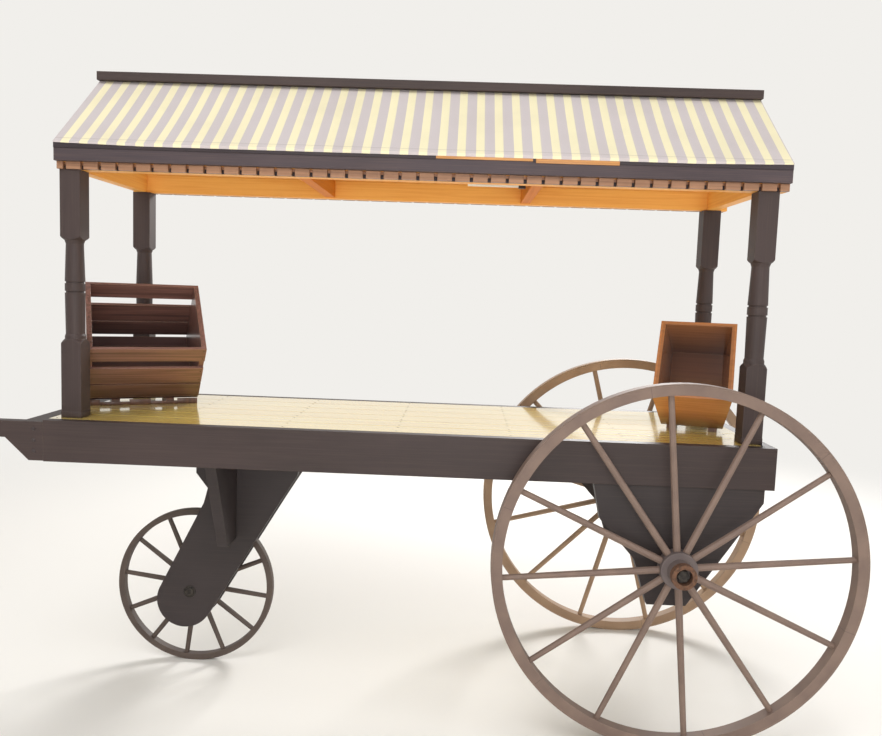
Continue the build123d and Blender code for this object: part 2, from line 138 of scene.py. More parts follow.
def stretched(tree, axis, across, along, tipped=None):
    """Coordinates in pattern units: fine across the board, long down its grain. A
    tipped box brings its pivot and turn, so that the grain follows its own boards."""
    scale = [1 / across] * 3
    scale["XYZ".index(axis)] = 1 / along
    if tipped:
        place = in_box(tree, tipped)
    else:
        place = add(tree, "TexCoord").outputs["Object"]
    return add(tree, "Mapping", {"Vector": place, "Scale": scale}).outputs["Vector"]


def edges(tree, radius):
    """Rounded-edge normal, and a mask that is high along an edge."""
    soft = add(tree, "Bevel", {"Radius": radius}, samples=4)
    flat = add(tree, "NewGeometry").outputs["Normal"]
    turn = add(tree, "VectorMath", {0: soft.outputs[0], 1: flat},
               operation="DOT_PRODUCT").outputs["Value"]
    mask = add(tree, "MapRange", {"Value": turn, "From Min": 0.995, "From Max": 0.80})
    return soft.outputs[0], mask.outputs["Result"]


def mix(tree, share, one, two):
    """Blend two colours, each a socket or linear values."""
    made = add(tree, "Mix", {0: share, 6: one, 7: two}, data_type="RGBA")
    return made.outputs[2]


def brown_paint(name, axis, light="#423533", dark="#372C2A", paler_tone="#62524A"):
    """Satin exterior paint brushed on planed boards: brush streaks along the grain,
    broad patches of two tones and edges rubbed paler."""
    made, tree, shader = new_material(name)
    streak_width, streak_length = 3 * MM, 260 * MM
    patch = 240 * MM
    streaks = add(tree, "TexNoise", {
        "Vector": stretched(tree, axis, streak_width, streak_length), "Scale": 1.0,
        "Detail": 3.0}).outputs["Fac"]
    patches = add(tree, "TexNoise", {
        "Vector": stretched(tree, axis, patch, 2 * patch), "Scale": 1.0,
        "Detail": 4.0}).outputs["Fac"]
    tone = add(tree, "MapRange", {"Value": patches, "From Min": 0.35, "From Max": 0.65})
    body = mix(tree, tone.outputs["Result"], linear(dark), linear(light))
    body = mix(tree, add(tree, "MapRange", {
        "Value": streaks, "From Min": 0.45, "From Max": 0.9,
        "To Max": 0.35}).outputs["Result"], body, linear(paler_tone))
    soft, edge_mask = edges(tree, 3 * MM)
    share = add(tree, "Math", {0: edge_mask, 1: streaks}, operation="MULTIPLY").outputs[0]
    colour = mix(tree, share, body, linear(paler_tone))
    rough = add(tree, "MapRange", {"Value": streaks, "To Min": 0.42, "To Max": 0.62})
    bump = add(tree, "Bump", {"Strength": 0.25, "Distance": 0.4 * MM,
                              "Height": streaks, "Normal": soft})
    set_inputs(tree, shader, Base_Color=colour, Roughness=rough.outputs["Result"],
               Specular_IOR_Level=0.35, Normal=bump.outputs["Normal"])
    return made


def painted_shade(tree, tipped, height, hollow=None):
    """A mask for painted shade on a tipped box: towards its foot, and, where the
    hollow's sizes are given, on its inner faces, most of all at their bottom."""
    parts = add(tree, "SeparateXYZ", {0: in_box(tree, tipped)}).outputs
    foot = add(tree, "MapRange", {"Value": parts["Z"], "From Min": height,
                                  "From Max": 0.0, "To Max": 0.9}).outputs["Result"]
    if not hollow:
        return foot
    half_floor, half_rim, depth, rise, wall = hollow
    reach = add(tree, "Math", {0: parts["Z"], 1: (half_rim - half_floor) / rise,
                               2: half_floor - wall / 2}, operation="MULTIPLY_ADD")
    aside = add(tree, "Math", {0: parts["X"]}, operation="ABSOLUTE")
    tests = (add(tree, "Math", {0: aside.outputs[0], 1: reach.outputs[0]},
                 operation="LESS_THAN"),
             add(tree, "Math", {0: parts["Y"], 1: depth / 2, 2: (depth - wall) / 2},
                 operation="COMPARE"),
             add(tree, "Math", {0: parts["Z"], 1: wall / 2}, operation="GREATER_THAN"))
    inside = add(tree, "MapRange", {"Value": parts["Z"], "From Min": rise, "From Max": 0.0,
                                    "To Min": 0.25, "To Max": 0.9}).outputs["Result"]
    for test in tests:
        inside = add(tree, "Math", {0: inside, 1: test.outputs[0]},
                     operation="MULTIPLY").outputs[0]
    return add(tree, "Math", {0: foot, 1: inside}, operation="MAXIMUM").outputs[0]


def plank_tones(tree, low, pitch):
    """A random value and colour for each plank, counted across from the first edge."""
    across = add(tree, "SeparateXYZ", {
        0: add(tree, "TexCoord").outputs["Object"]}).outputs["Y"]
    from_edge = add(tree, "Math", {0: across, 1: low}, operation="SUBTRACT").outputs[0]
    planks = add(tree, "Math", {0: from_edge, 1: pitch}, operation="DIVIDE").outputs[0]
    row = add(tree, "Math", {0: planks}, operation="FLOOR").outputs[0]
    return add(tree, "TexWhiteNoise", {"W": row}, noise_dimensions="1D").outputs


def varnish(name, axis, early, late, gloss=0.22, coat=0.5, plank=None, grain=1.0,
            tipped=None, shade_sizes=None, film=0.06, gleam=0.5, paler_tone=None):
    """Spar varnish over planed pine: wood with darker latewood lines and pores along
    the grain, under a clear film that gathers a little darker on the edges. Deck planks
    have a tone each. A tipped box may have painted shade darkening its foot and hollow,
    and a paler tone painted on its edges as a highlight."""
    made, tree, shader = new_material(name)
    ring_width, ring_length = 9 * MM, 420 * MM
    pore_width, pore_length = 0.9 * MM, 30 * MM
    grain_shift = 37.0  # pattern units, so that no plank repeats another's grain
    place = stretched(tree, axis, ring_width, ring_length, tipped)
    if plank:
        shade = plank_tones(tree, *plank)
        shift = add(tree, "VectorMath", {0: shade["Color"], 3: grain_shift},
                    operation="SCALE")
        place = add(tree, "VectorMath", {0: place, 1: shift.outputs[0]}).outputs[0]
    rings = add(tree, "TexNoise", {"Vector": place, "Scale": 1.0, "Detail": 2.0,
                                   "Distortion": 0.6}).outputs["Fac"]
    pores = add(tree, "TexNoise", {
        "Vector": stretched(tree, axis, pore_width, pore_length, tipped), "Scale": 1.0,
        "Detail": 2.0}).outputs["Fac"]
    share = add(tree, "MapRange", {"Value": rings, "From Min": 0.42, "From Max": 0.68,
                                   "To Max": grain})
    body = mix(tree, share.outputs["Result"], linear(early), linear(late))
    body = mix(tree, add(tree, "MapRange", {
        "Value": pores, "From Min": 0.55, "From Max": 0.8,
        "To Max": 0.45}).outputs["Result"], body, linear(late))
    if plank:
        body = mix(tree, add(tree, "MapRange", {
            "Value": shade["Value"], "To Max": 0.3}).outputs["Result"],
            body, linear(late))
    # Painted shade: dark brown towards a tipped box's foot and in its hollow
    if shade_sizes:
        body = mix(tree, painted_shade(tree, tipped, *shade_sizes), body, linear("#422D2B"))
    soft, edge_mask = edges(tree, 2.5 * MM)
    # With a paler tone given, its mix on the edges is a painted highlight; without, the
    # film gathers a little darker there
    edge_share = 0.9 if paler_tone else 0.35
    body = mix(tree, add(tree, "Math", {0: edge_mask, 1: edge_share},
                         operation="MULTIPLY").outputs[0], body, linear(paler_tone or late))
    bump = add(tree, "Bump", {"Strength": 0.12, "Distance": 0.3 * MM,
                              "Height": rings, "Normal": soft})
    rough = add(tree, "MapRange", {"Value": pores, "To Min": gloss,
                                   "To Max": gloss + 0.12})
    set_inputs(tree, shader, Base_Color=body, Roughness=rough.outputs["Result"],
               Specular_IOR_Level=gleam, Coat_Weight=coat, Coat_Roughness=film,
               Normal=bump.outputs["Normal"])
    return made


def wheel_paint(name, centre, tones, joints=0):
    """Matt paint on turned and sawn ash: dusty, finely speckled and pale where it is
    rubbed; a rim also shows the fine joints between its felloes."""
    made, tree, shader = new_material(name)
    dust_size, speck_size = 90 * MM, 6 * MM
    first_joint, half_joint = 0.3, 0.002  # shares of a felloe's length
    place = add(tree, "Mapping", {
        "Vector": add(tree, "TexCoord").outputs["Object"],
        "Location": [-value for value in centre]}).outputs["Vector"]
    dust = add(tree, "TexNoise", {"Vector": place, "Scale": 1 / dust_size,
                                  "Detail": 5.0}).outputs["Fac"]
    specks = add(tree, "TexNoise", {"Vector": place, "Scale": 1 / speck_size,
                                    "Detail": 3.0}).outputs["Fac"]
    tone = add(tree, "MapRange", {"Value": dust, "From Min": 0.35, "From Max": 0.65})
    body = mix(tree, tone.outputs["Result"], linear(tones[0]), linear(tones[1]))
    soft, edge_mask = edges(tree, 4 * MM)
    share = add(tree, "Math", {0: edge_mask, 1: specks}, operation="MULTIPLY").outputs[0]
    body = mix(tree, share, body, linear(tones[2]))
    if joints:
        parts = add(tree, "SeparateXYZ", {0: place})
        angle = add(tree, "Math", {0: parts.outputs["Z"], 1: parts.outputs["X"]},
                    operation="ARCTAN2").outputs[0]
        turn = add(tree, "Math", {0: angle, 1: joints / (2 * math.pi),
                                  2: joints + first_joint},
                   operation="MULTIPLY_ADD").outputs[0]
        gap = add(tree, "Math", {0: turn, 1: 0.5}, operation="PINGPONG")
        line = add(tree, "MapRange", {"Value": gap.outputs[0], "From Min": half_joint,
                                      "From Max": 0.0, "To Max": 0.8})
        body = mix(tree, line.outputs["Result"], body, linear("#4A3E37"))
    bump = add(tree, "Bump", {"Strength": 0.3, "Distance": 0.5 * MM, "Height": specks,
                              "Normal": soft})
    rough = add(tree, "MapRange", {"Value": dust, "To Min": 0.5, "To Max": 0.75})
    set_inputs(tree, shader, Base_Color=body, Roughness=rough.outputs["Result"],
               Normal=bump.outputs["Normal"])
    return made


def worn_metal(name, colours, metallic, roughness, grit, edge="#8C7B6E"):
    """Forged or rolled iron left to weather: blotches of two tones at the grit's size,
    a pitted face and edges rubbed brighter."""
    made, tree, shader = new_material(name)
    place = add(tree, "TexCoord").outputs["Object"]
    blotch = add(tree, "TexNoise", {"Vector": place, "Scale": 1 / grit,
                                    "Detail": 6.0}).outputs["Fac"]
    share = add(tree, "MapRange", {"Value": blotch, "From Min": 0.4, "From Max": 0.62})
    body = mix(tree, share.outputs["Result"], linear(colours[0]), linear(colours[1]))
    soft, edge_mask = edges(tree, 1.5 * MM)
    body = mix(tree, add(tree, "Math", {0: edge_mask, 1: 0.5},
                         operation="MULTIPLY").outputs[0], body, linear(edge))
    bump = add(tree, "Bump", {"Strength": 0.4, "Distance": 0.4 * MM, "Height": blotch,
                              "Normal": soft})
    set_inputs(tree, shader, Base_Color=body, Metallic=metallic, Roughness=roughness,
               Normal=bump.outputs["Normal"])
    return made


def smooth_plastic(name, colour, roughness):
    """Moulded ABS: an even colour with the faint orange peel of a mould."""
    made, tree, shader = new_material(name)
    peel_size = 2 * MM
    peel = add(tree, "TexNoise", {"Vector": add(tree, "TexCoord").outputs["Object"],
                                  "Scale": 1 / peel_size}).outputs["Fac"]
    bump = add(tree, "Bump", {"Strength": 0.1, "Distance": 0.1 * MM, "Height": peel})
    set_inputs(tree, shader, Base_Color=linear(colour), Roughness=roughness,
               Normal=bump.outputs["Normal"])
    return made


def striped_canvas(length, depth):
    """Woven acrylic awning canvas: cream and taupe stripes from ridge to eave, a coarse
    plain weave, a stitched hem along the eave and a little dust."""
    made, tree, shader = new_material("striped_canvas")
    stripe, cream_share, first_cream = 62.0 * MM, 0.45, 40 * MM
    thread = 2.4 * MM  # real threads are 0.8 mm, drawn coarser so that they show
    hem, stitch_width, dust_size = 30 * MM, 1.2 * MM, 180 * MM
    blur = 0.01  # half width of a stripe's soft edge, in cycles of cream and taupe
    parts = add(tree, "SeparateXYZ", {0: add(tree, "UVMap").outputs["UV"]})
    run = add(tree, "Math", {0: parts.outputs["X"], 1: length}, operation="MULTIPLY")
    fall = add(tree, "Math", {0: parts.outputs["Y"], 1: depth}, operation="MULTIPLY")
    # Half a cycle puts the cream's middle at 0.5, and a whole one keeps it positive
    turn = add(tree, "Math", {0: run.outputs[0], 1: 1 / stripe,
                              2: 1.5 - first_cream / stripe},
               operation="MULTIPLY_ADD").outputs[0]
    cycle = add(tree, "Math", {0: turn}, operation="FRACT").outputs[0]
    aside = add(tree, "Math", {0: cycle, 1: 0.5}, operation="SUBTRACT").outputs[0]
    off = add(tree, "Math", {0: aside}, operation="ABSOLUTE").outputs[0]
    cream = add(tree, "MapRange", {
        "Value": off, "From Min": cream_share / 2 + blur,
        "From Max": cream_share / 2 - blur}).outputs["Result"]
    body = mix(tree, cream, linear("#CCC2C2"), linear("#F4EAC2"))
    dust = add(tree, "TexNoise", {"Vector": add(tree, "TexCoord").outputs["Object"],
                                  "Scale": 1 / dust_size, "Detail": 5.0})
    body = mix(tree, add(tree, "MapRange", {
        "Value": dust.outputs["Fac"], "From Min": 0.45, "From Max": 0.8,
        "To Max": 0.16}).outputs["Result"], body, linear("#A99C90"))
    weave = []
    for socket in (run.outputs[0], fall.outputs[0]):
        phase = add(tree, "Math", {0: socket, 1: 2 * math.pi / thread},
                    operation="MULTIPLY").outputs[0]
        weave.append(add(tree, "Math", {0: phase}, operation="SINE").outputs[0])
    height = add(tree, "Math", {0: weave[0], 1: weave[1]}, operation="MULTIPLY")
    stitch = add(tree, "Math", {0: fall.outputs[0], 1: hem, 2: stitch_width},
                 operation="COMPARE").outputs[0]
    body = mix(tree, add(tree, "Math", {0: stitch, 1: 0.5},
                         operation="MULTIPLY").outputs[0], body, linear("#8F8378"))
    bump = add(tree, "Bump", {"Strength": 0.35, "Distance": 0.5 * MM,
                              "Height": height.outputs[0]})
    set_inputs(tree, shader, Base_Color=body, Roughness=0.9, Sheen_Weight=0.2,
               Sheen_Roughness=0.5, Normal=bump.outputs["Normal"])
    return made


# Making pieces
def fresh():
    """Leave edit mode with nothing selected."""
    if bpy.context.mode != "OBJECT":
        bpy.ops.object.mode_set(mode="OBJECT")
    bpy.ops.object.select_all(action="DESELECT")


def keep(name, material):
    """Name the active piece, settle it at the origin and give it its finish; every
    added piece rides on the cart."""
    piece = bpy.context.object
    piece.name = piece.data.name = name
    bpy.ops.object.transform_apply(location=True, rotation=True, scale=True)
    bpy.ops.object.shade_smooth_by_angle(angle=math.radians(30))
    piece.data.materials.clear()
    piece.data.materials.append(material)
    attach(piece, "cart")
    return piece


def finish_modifier(kind, name, **settings):
    """Add a modifier to the active piece, set it and apply it."""
    made = bpy.context.object.modifiers.new(name, kind)
    for key, value in settings.items():
        setattr(made, key, value)
    bpy.ops.object.modifier_apply(modifier=name)


def canopy(hand, sign, material):
    """One canvas panel stretched from the ridge to the fascia's top edge, dipping a
    little between the rafters; its hem hangs a little way down the fascia's face."""
    low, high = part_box("canopy_" + hand)
    inner = high.y if sign < 0 else low.y
    outer = sign * eave_y
    sections, slope_rows, hem_rows = 192, 24, 2
    dip, ripple, lift = 7 * MM, 1.2 * MM, 1 * MM
    fine_wave, broad_wave, wave_start = 61, 23, 1.3  # radians along the canopy
    end_drop, taper = 3 * MM, 0.3  # the hem hangs less near the panel's two ends
    falls = [canvas_slope * row / slope_rows for row in range(slope_rows + 1)]
    falls += [canvas_slope + hem_drop / hem_rows, canvas_depth]
    rows = len(falls) - 1
    fresh()
    bpy.ops.mesh.primitive_grid_add(x_subdivisions=sections, y_subdivisions=rows, size=1)
    piece = bpy.context.object
    places = {}
    for vertex in piece.data.vertices:
        across = vertex.co.x + 0.5
        row = round((0.5 - vertex.co.y) * rows)
        down = row / slope_rows
        x = low.x + canvas_run * across
        places[vertex.index] = (across, 1 - falls[row] / canvas_depth)
        if row > slope_rows:
            from_end = min((x - low.x) / taper, (high.x - x) / taper, 1)
            drop = end_drop + (hem_drop - end_drop) * from_end
            y, z = outer, eave_z - drop * (row - slope_rows) / hem_rows
        else:
            phase = (x - rafter_low.x - rafter_width / 2) / rafter_step
            middle = math.sin(math.pi * down)
            sag = dip * abs(math.sin(math.pi * phase)) * middle
            wave = ripple * math.sin(fine_wave * across) * math.sin(
                broad_wave * across + wave_start)
            y = inner + (outer - inner) * down
            z = high.z + (eave_z - high.z) * down + lift - sag - abs(wave) * middle
        vertex.co = (x, y, z)
    for loop in piece.data.loops:
        piece.data.uv_layers.active.data[loop.index].uv = places[loop.vertex_index]
    bpy.ops.object.mode_set(mode="EDIT")
    bpy.ops.mesh.select_all(action="SELECT")
    bpy.ops.mesh.normals_make_consistent(inside=False)
    bpy.ops.object.mode_set(mode="OBJECT")
    finish_modifier("SOLIDIFY", "cloth", thickness=cloth_thickness, offset=0)
    piece = keep("canvas_" + hand, material)
    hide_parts("canopy_" + hand)


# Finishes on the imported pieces
honey, amber = "#FFBC60", "#EE9F48"
# The crate's browns, and a pale tone painted on its edges as a highlight
brown_box, dark_box, edge_highlight = "#866057", "#60453E", "#B4917A"
taupe = ("#735F55", "#816C60", "#A08A7A")
# A paler, warmer copy of the taupe for the far wheel: painted sunlight
painted_sun_tones = ("#977A60", "#A78A6F", "#BEA488")
umber = ("#4A3D37", "#574A42", "#75655A")
hub_grey = ("#5E5352", "#6B5F5C", "#857870")
finishes = {
    # Brushed satin paint on planed pine: near black brown, browner where light rakes it
    "side_boards": brown_paint("paint_on_boards", "X"),
    "end_board_rear": brown_paint("paint_on_end_board", "Y"),
    "posts": brown_paint("paint_on_posts", "Z"),
    "fascias": brown_paint("paint_on_fascias", "X", "#4C4145", "#40363A", "#7E665A"),
    # The running gear under the deck gets a darker copy of the brown: painted shade
    "fork_cheeks": brown_paint("paint_on_gear_painted_shade", "X", "#383030", "#2F2827", "#564944"),
    # Spar varnish rolled on pale pine planks: straw yellow, mirrors what stands on it
    "deck_boards": varnish("deck_varnish", "X", "#F1DC84", "#E0BC5C", gloss=0.14,
                           coat=1.0, film=0.09, plank=(deck_low.y, plank_pitch)),
    # Satin varnish on planed pine roof timbers: warm orange, hardly any shine
    "long_plates": varnish("roof_varnish", "X", honey, amber, gloss=0.45, coat=0.05,
                           grain=0.6, gleam=0.25),
    "end_plates": varnish("tie_varnish", "Y", honey, amber, gloss=0.45, coat=0.05,
                          grain=0.6, gleam=0.25),
    # The tie beams get a deeper, darker copy of the roof timbers' orange: painted shade
    "tie_beams": varnish("beam_varnish", "Y", "#DC842A", "#C97222", gloss=0.5, coat=0.0,
                         grain=0.6, gleam=0.1),
    # Varnish on sawn pine dentils: dull tan with darker lines, a darker copy of the roof
    # timbers' orange as painted shade under the fascia
    "dentil_trim": varnish("trim_varnish", "X", "#AE8060", "#8C6449", gloss=0.4,
                           coat=0.15),
    # Brown stained and varnished pine slats: red brown, with painted shade darker to the
    # foot and a painted highlight on the edges
    "crate_slats": varnish("crate_varnish", "X", brown_box, dark_box, gloss=0.3,
                           coat=0.3, tipped=crate_tip, shade_sizes=(crate_shade_height,),
                           paler_tone=edge_highlight),
    "crate_ends": varnish("crate_end_varnish", "Z", brown_box, dark_box, gloss=0.3,
                          coat=0.3, tipped=crate_tip, shade_sizes=(crate_shade_height,),
                          paler_tone=edge_highlight),
    # Glossy varnish on stained pine boards: chestnut outside, with painted shade dark in
    # the hollow and towards the foot
    "bin_box": varnish("bin_varnish", "X", "#BE7E4E", "#955F3D", gloss=0.18, coat=0.7,
                       grain=0.4, tipped=bin_tip, shade_sizes=(bin_shade_height, bin_hollow)),
    # Satin varnish on dark stained pine bearers: deep brown with a dull shine
    "crate_stand": varnish("stand_varnish", "Z", "#694636", "#52372B", gloss=0.4,
                           coat=0.2),
    # Rolled mild steel, weathered: dark grey, a little brown, half matt
    "front_axle": worn_metal("axle_steel", ("#2F2C2A", "#47423D"), 0.8, 0.45, 12 * MM),
    # Forged iron bands, rusted: rough red brown, brighter at the rubbed edge
    "wheel_near_hub_band": worn_metal("rusty_iron", ("#7A5742", "#574033"), 0.35, 0.8,
                                      9 * MM, "#9C7F66"),
    # Moulded ABS: a milky white tube and a near black end cap, both softly shiny
    "lamp_tube": smooth_plastic("lamp_white", "#EDECE6", 0.35),
    "lamp_holder": smooth_plastic("lamp_end_cap", "#2E2A28", 0.5),
}
same_finish = {
    "side_boards": ["handles", "ridge_cap"],
    "end_board_rear": ["end_beam_front"],
    "fork_cheeks": ["fork_bolster", "rear_hangers", "floor_joists", "fork_knees",
                    "axle_bed"],
    "long_plates": ["ridge_board", "soffits"],
    "end_plates": ["rafters"],
    "crate_stand": ["bin_stand"],
    "front_axle": ["rear_axle", "rear_axle_nuts"],
    "wheel_near_hub_band": ["wheel_far_hub_band"],
}
for first, others in same_finish.items():
    for name in others:
        finishes[name] = finishes[first]

# Matt paint on ash wheels: taupe near, paler and warmer far as painted sunlight, umber in
# front, grey hubs
for hand, stem, tones, hub_tones in (("near", "wheel_near_", taupe, hub_grey),
                                     ("far", "wheel_far_", painted_sun_tones, hub_grey),
                                     ("front", "front_wheel_", umber, umber)):
    tyre_low, tyre_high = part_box(stem + "tyre")
    centre = (tyre_low + tyre_high) / 2
    plain = wheel_paint("wheel_paint_" + hand, centre, tones)
    finishes[stem + "rim"] = wheel_paint("rim_paint_" + hand, centre, tones, joints=6)
    for piece_name in ("spokes", "tyre"):
        finishes[stem + piece_name] = plain
    finishes[stem + "hub"] = wheel_paint("hub_paint_" + hand, centre, hub_tones)

for name, material in finishes.items():
    nodes[name].data.materials.clear()
    nodes[name].data.materials.append(material)

# Woven acrylic canvas: striped cream and taupe, matt, with a weave that catches light
canvas_finish = striped_canvas(canvas_run, canvas_depth)
canopy("near", -1, canvas_finish)
canopy("far", 1, canvas_finish)


# Fittings
crosswise = (math.pi / 2, 0, 0)  # turns a head to lie across the cart
# Brushed satin paint on thin pine strips: the fascias' brown, darker, as painted shade
# under the hem and between the dentils
shaded_strip_paint = brown_paint("strip_paint_painted_shade", "X", "#3A3136", "#30282B", "#5A4C4C")


def bars(name, spans, material, place=None):
    """Square-edged strips as one piece, each given by its two corners, at a place."""
    fresh()
    bpy.ops.mesh.primitive_cube_add(size=1)
    bpy.ops.object.mode_set(mode="EDIT")
    bpy.ops.mesh.select_all(action="SELECT")
    bpy.ops.mesh.delete(type="VERT")
    for low, high in spans:
        middle = (Vector(low) + Vector(high)) / 2
        bpy.ops.mesh.primitive_cube_add(size=1, location=middle,
                                        scale=Vector(high) - Vector(low))
    bpy.ops.object.mode_set(mode="OBJECT")
    finish_modifier("BEVEL", "soft_edges", width=1 * MM, segments=2)
    if place:
        bpy.context.object.matrix_world = place
    keep(name, material)


def heads(name, places, radius, height, turn, material, sides=16):
    """Heads of nails, screws or bolts, washers or nuts as one piece, each at its own
    place."""
    fresh()
    bpy.ops.mesh.primitive_cylinder_add(vertices=sides, radius=radius, depth=height)
    bpy.ops.object.mode_set(mode="EDIT")
    bpy.ops.mesh.select_all(action="SELECT")
    bpy.ops.mesh.delete(type="VERT")
    for place in places:
        bpy.ops.mesh.primitive_cylinder_add(vertices=sides, radius=radius, depth=height,
                                            location=place, rotation=turn)
    bpy.ops.object.mode_set(mode="OBJECT")
    finish_modifier("BEVEL", "soft_edges", width=0.45 * height, segments=2,
                    limit_method="ANGLE")
    keep(name, material)


def post_shoes():
    """A thin painted board shoe round the foot of each post."""
    inset_front, inset_rear, centre_y = 65 * MM, 62 * MM, 300 * MM
    half, height = 35.2 * MM, 22 * MM
    spans = []
    for x in (board_low.x + inset_front, board_high.x - inset_rear):
        for y in (-centre_y, centre_y):
            spans.append(((x - half, y - half, board_high.z),
                          (x + half, y + half, board_high.z + height)))
    bars("post_shoes", spans, finishes["posts"])


def hem_strips():
    """The strip under the cloth's hem along each fascia, dark paint carrying the hem's
    painted shadow, but for two lengths on the near side that are left in varnish."""
    varnished = ((0.07, 0.385, 17 * MM), (0.395, 0.665, 22 * MM))  # from, to, depth
    depth = 19 * MM
    top = fascia_high.z
    near = (fascia_low.y - strip_proud, fascia_low.y)
    far = (fascia_high.y, fascia_high.y + strip_proud)
    # Thin varnish on sawn pine: tan orange with darker lines and a dull shine
    bars("hem_battens", [((first, near[0], top - fall), (last, near[1], top))
                         for first, last, fall in varnished],
         varnish("batten_varnish", "X", "#D29658", "#B87E44", gloss=0.4, coat=0.1))
    dark = ((fascia_low.x, varnished[0][0]), (varnished[0][1], varnished[1][0]),
            (varnished[1][1], fascia_high.x))
    spans = [((first, near[0], top - depth), (last, near[1], top))
             for first, last in dark]
    spans.append(((fascia_low.x, far[0], top - depth), (fascia_high.x, far[1], top)))
    bars("drip_strips", spans, shaded_strip_paint)


def dentil_gap_shade():
    """Dark strips behind the dentils: painted shade seen in the gaps between them, on both
    sides.
    """
    low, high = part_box("dentil_trim")
    tooth, backing, thick = 14 * MM, 10 * MM, 5 * MM
    middle = high.y - tooth - air - thick / 2
    top = high.z - backing - air
    bars("dentil_gap_shade", [((low.x, sign * middle - thick / 2, low.z),
                           (high.x, sign * middle + thick / 2, top))
                          for sign in (-1, 1)], shaded_strip_paint)


def plate_fillets():
    """Fillets on the long plates that close the slits between the rafters."""
    low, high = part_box("long_plates")
    plate, inset, rise = 38 * MM, 3 * MM, 12 * MM
    length, width = rafter_step - rafter_width, plate - 2 * inset
    spans = []
    for number in range(rafter_bays):
        first = rafter_low.x + rafter_width + rafter_step * number
        for y in (low.y + inset, high.y - plate + inset):
            spans.append(((first, y, high.z), (first + length, y + width, high.z + rise)))
    bars("plate_fillets", spans, finishes["long_plates"])


def crate_slit_shade():
    """A dark strip standing under the crate's front edge that fills the slit between the
    crate and the deck with painted shade, cut down in two long stretches that leave slots
    of daylight."""
    front, back, tall, short = 0.8 * MM, 3.8 * MM, 22 * MM, 13 * MM
    stretches = ((-202, -155, tall), (-155, -50, short), (-50, 28, tall),
                 (28, 126, short), (126, 202, tall))  # from and to in mm, height
    spans = [((first * MM, front, 0), (last * MM, back, height))
             for first, last, height in stretches]
    pivot, turn = crate_tip
    place = Matrix.Translation((pivot.x, pivot.y, board_high.z)) @ Matrix.Rotation(
        turn[2], 4, "Z")
    bars("crate_slit_shade", spans, finishes["crate_stand"], place)


def handle_bolts():
    """Domed bolts that hold the handles to the side boards, painted over."""
    back, drops = 32 * MM, (30 * MM, 68 * MM, 106 * MM)
    radius, height = 6.5 * MM, 5 * MM
    places = []
    for drop in drops:
        for y in (board_low.y, board_high.y):
            places.append((board_low.x - back, y, board_high.z - drop))
    # Brushed satin paint over steel bolt heads: the boards' brown, a little greyer
    heads("handle_bolts", places, radius, height, crosswise,
          brown_paint("bolt_paint", "Z", "#443A3A", "#383030", "#5E5250"))


def axle_ends():
    """A washer and a nut on the front axle against each cheek of the fork."""
    axle_low, axle_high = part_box("front_axle")
    cheek_low, cheek_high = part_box("fork_cheeks")
    axle = (axle_low + axle_high) / 2
    washer_radius, washer = 23 * MM, 3 * MM
    nut_radius, nut = 20 * MM, 7 * MM
    faces = ((cheek_low.y, -1), (cheek_high.y, 1))
    heads("front_washers", [(axle.x, y + sign * washer / 2, axle.z)
                            for y, sign in faces],
          washer_radius, washer, crosswise, finishes["front_axle"], 32)
    heads("front_nuts", [(axle.x, y + sign * (washer + nut / 2), axle.z)
                         for y, sign in faces],
          nut_radius, nut, crosswise, finishes["front_axle"], 6)


def deck_screws():
    """Two screws through each deck plank into each joist."""
    joists, thick, edge = 7, 38 * MM, 22 * MM
    radius, height = 3.2 * MM, 0.8 * MM
    step = (joist_high.x - joist_low.x - thick) / (joists - 1)
    places = []
    for number in range(joists):
        for row in range(plank_count):
            for side in (edge, plank_pitch - plank_gap - edge):
                places.append((joist_low.x + thick / 2 + step * number,
                               deck_low.y + plank_pitch * row + side, deck_high.z))
    heads("deck_screws", places, radius, height, (0, 0, 0), finishes["front_axle"],
          12)


def crate_nails():
    """Nails through the ends of the crate's slats, on its front and back."""
    depth, reach = 328 * MM, 195 * MM
    rows = (42 * MM, 82 * MM, 127 * MM, 176 * MM, 252 * MM, 294 * MM)
    radius, height = 2.6 * MM, 1 * MM
    pivot, turn = crate_tip
    tip = Matrix.Rotation(turn[2], 4, "Z") @ Matrix.Rotation(turn[0], 4, "X")
    places = [pivot + tip @ Vector((x, y, z))
              for y in (0, depth) for x in (-reach, reach) for z in rows]
    heads("crate_nails", places, radius, height, (turn[0] + math.pi / 2, 0, turn[2]),
          finishes["front_axle"], 12)


post_shoes()
hem_strips()
dentil_gap_shade()
plate_fillets()
crate_slit_shade()
handle_bolts()
axle_ends()
deck_screws()
crate_nails()


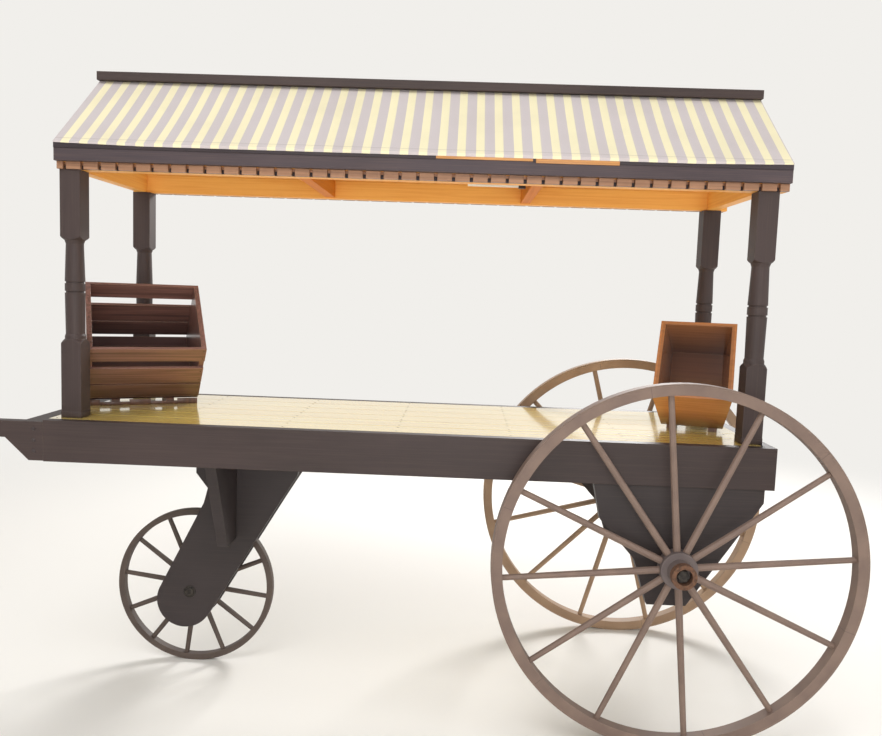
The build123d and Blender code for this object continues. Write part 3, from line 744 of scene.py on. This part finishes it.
# Studio, light and camera
def studio():
    """A round pale floor that curves up into its own backdrop."""
    radius, curve, wall = 9.0, 2.5, 7.5
    glow_from, glow_full = 2.4, 6.0  # distances from the cart's middle
    fresh()
    bpy.ops.mesh.primitive_circle_add(vertices=96, radius=radius - curve,
                                      fill_type="NGON")
    bpy.ops.object.mode_set(mode="EDIT")
    bpy.ops.mesh.select_all(action="SELECT")
    steps = 10
    for number in range(steps):
        first = math.pi / 2 * number / steps
        last = math.pi / 2 * (number + 1) / steps
        ring_from = radius - curve + curve * math.sin(first)
        ring_to = radius - curve + curve * math.sin(last)
        rise = curve * (math.cos(first) - math.cos(last))
        bpy.ops.mesh.extrude_region_move(TRANSFORM_OT_translate={"value": (0, 0, rise)})
        bpy.ops.transform.resize(value=(ring_to / ring_from, ring_to / ring_from, 1))
    bpy.ops.mesh.extrude_region_move(
        TRANSFORM_OT_translate={"value": (0, 0, wall - curve)})
    bpy.ops.mesh.delete(type="ONLY_FACE")
    bpy.ops.mesh.select_all(action="SELECT")
    bpy.ops.mesh.normals_make_consistent(inside=True)
    bpy.ops.object.mode_set(mode="OBJECT")
    bpy.ops.object.shade_smooth()
    made = bpy.context.object
    made.name = "studio_floor"
    # Matt emulsion on plaster: pale warm grey, and far from the cart an even glow
    material, tree, shader = new_material("studio_paint")
    set_inputs(tree, shader, Base_Color=linear("#ECE9E4"), Roughness=0.9)
    rays = add(tree, "LightPath").outputs
    seen = add(tree, "Math", {0: rays["Is Camera Ray"], 1: rays["Is Glossy Ray"]},
               operation="MAXIMUM").outputs[0]
    seen = add(tree, "Math", {0: seen, 1: rays["Is Transmission Ray"]},
               operation="MAXIMUM").outputs[0]
    away = add(tree, "VectorMath", {0: add(tree, "TexCoord").outputs["Object"]},
               operation="LENGTH").outputs["Value"]
    wall_share = add(tree, "MapRange", {"Value": away, "From Min": glow_from,
                                        "From Max": glow_full},
                     interpolation_type="SMOOTHSTEP").outputs["Result"]
    share = add(tree, "Math", {0: seen, 1: wall_share}, operation="MULTIPLY").outputs[0]
    glow = add(tree, "Emission", {"Color": linear("#F1EFEB"), "Strength": 1.0})
    both = add(tree, "MixShader", {0: share, 1: shader.outputs[0], 2: glow.outputs[0]})
    tree.links.new(both.outputs[0], tree.nodes["Material Output"].inputs["Surface"])
    made.data.materials.append(material)


def panel_light(name, place, target, size, watts):
    """A soft square light aimed at a point."""
    lamp = bpy.data.lights.new(name, "AREA")
    lamp.shape = "SQUARE"
    lamp.size = size
    lamp.energy = watts
    made = bpy.data.objects.new(name, lamp)
    made.location = place
    made.rotation_euler = (Vector(target) - Vector(place)).to_track_quat(
        "-Z", "Y").to_euler()
    bpy.context.collection.objects.link(made)


def lights():
    """Soft light from high on the serving side, a low one that reaches in under the
    roof, a weaker side and back light, and an even pale sky."""
    middle = (0.0, 0.0, 1.2)
    panel_light("front_light", (-1.5, -4.5, 6.0), middle, 4.0, 165)
    panel_light("low_light", (0.4, -5.2, 0.9), (0.0, 0.0, 1.7), 2.5, 75)
    panel_light("side_light", (5.5, -3.5, 3.0), middle, 3.0, 50)
    panel_light("back_light", (2.0, 5.0, 4.2), (0.0, 0.0, 1.0), 2.0, 330)
    world = bpy.data.worlds.new("pale_sky")
    world.use_nodes = True
    sky = world.node_tree.nodes["Background"]
    sky.inputs["Color"].default_value = linear("#F4F6F8")
    sky.inputs["Strength"].default_value = 0.6
    bpy.context.scene.world = world
    bpy.context.scene.view_settings.view_transform = "Standard"


def camera():
    """The viewpoint at standing height, square on to the serving side."""
    place = Vector((175.15, -3025.7, 1465.4)) * MM
    pitch, roll, yaw = (math.radians(value) for value in (-5.31, 2.01, -1.39))
    focal_pixels, picture_width, sensor = 803.3, 882, 36.0
    forward = Vector((math.sin(yaw) * math.cos(pitch), math.cos(yaw) * math.cos(pitch),
                      math.sin(pitch)))
    level = Vector((math.cos(yaw), -math.sin(yaw), 0))
    upright = level.cross(forward)
    right = math.cos(roll) * level + math.sin(roll) * upright
    up = math.cos(roll) * upright - math.sin(roll) * level
    lens = bpy.data.cameras.new("viewpoint")
    lens.sensor_width = sensor
    lens.lens = focal_pixels * sensor / picture_width
    made = bpy.data.objects.new("viewpoint", lens)
    turn = Matrix((right, up, -forward)).transposed().to_4x4()
    made.matrix_world = Matrix.Translation(place) @ turn
    bpy.context.collection.objects.link(made)
    bpy.context.scene.camera = made


studio()
lights()
camera()
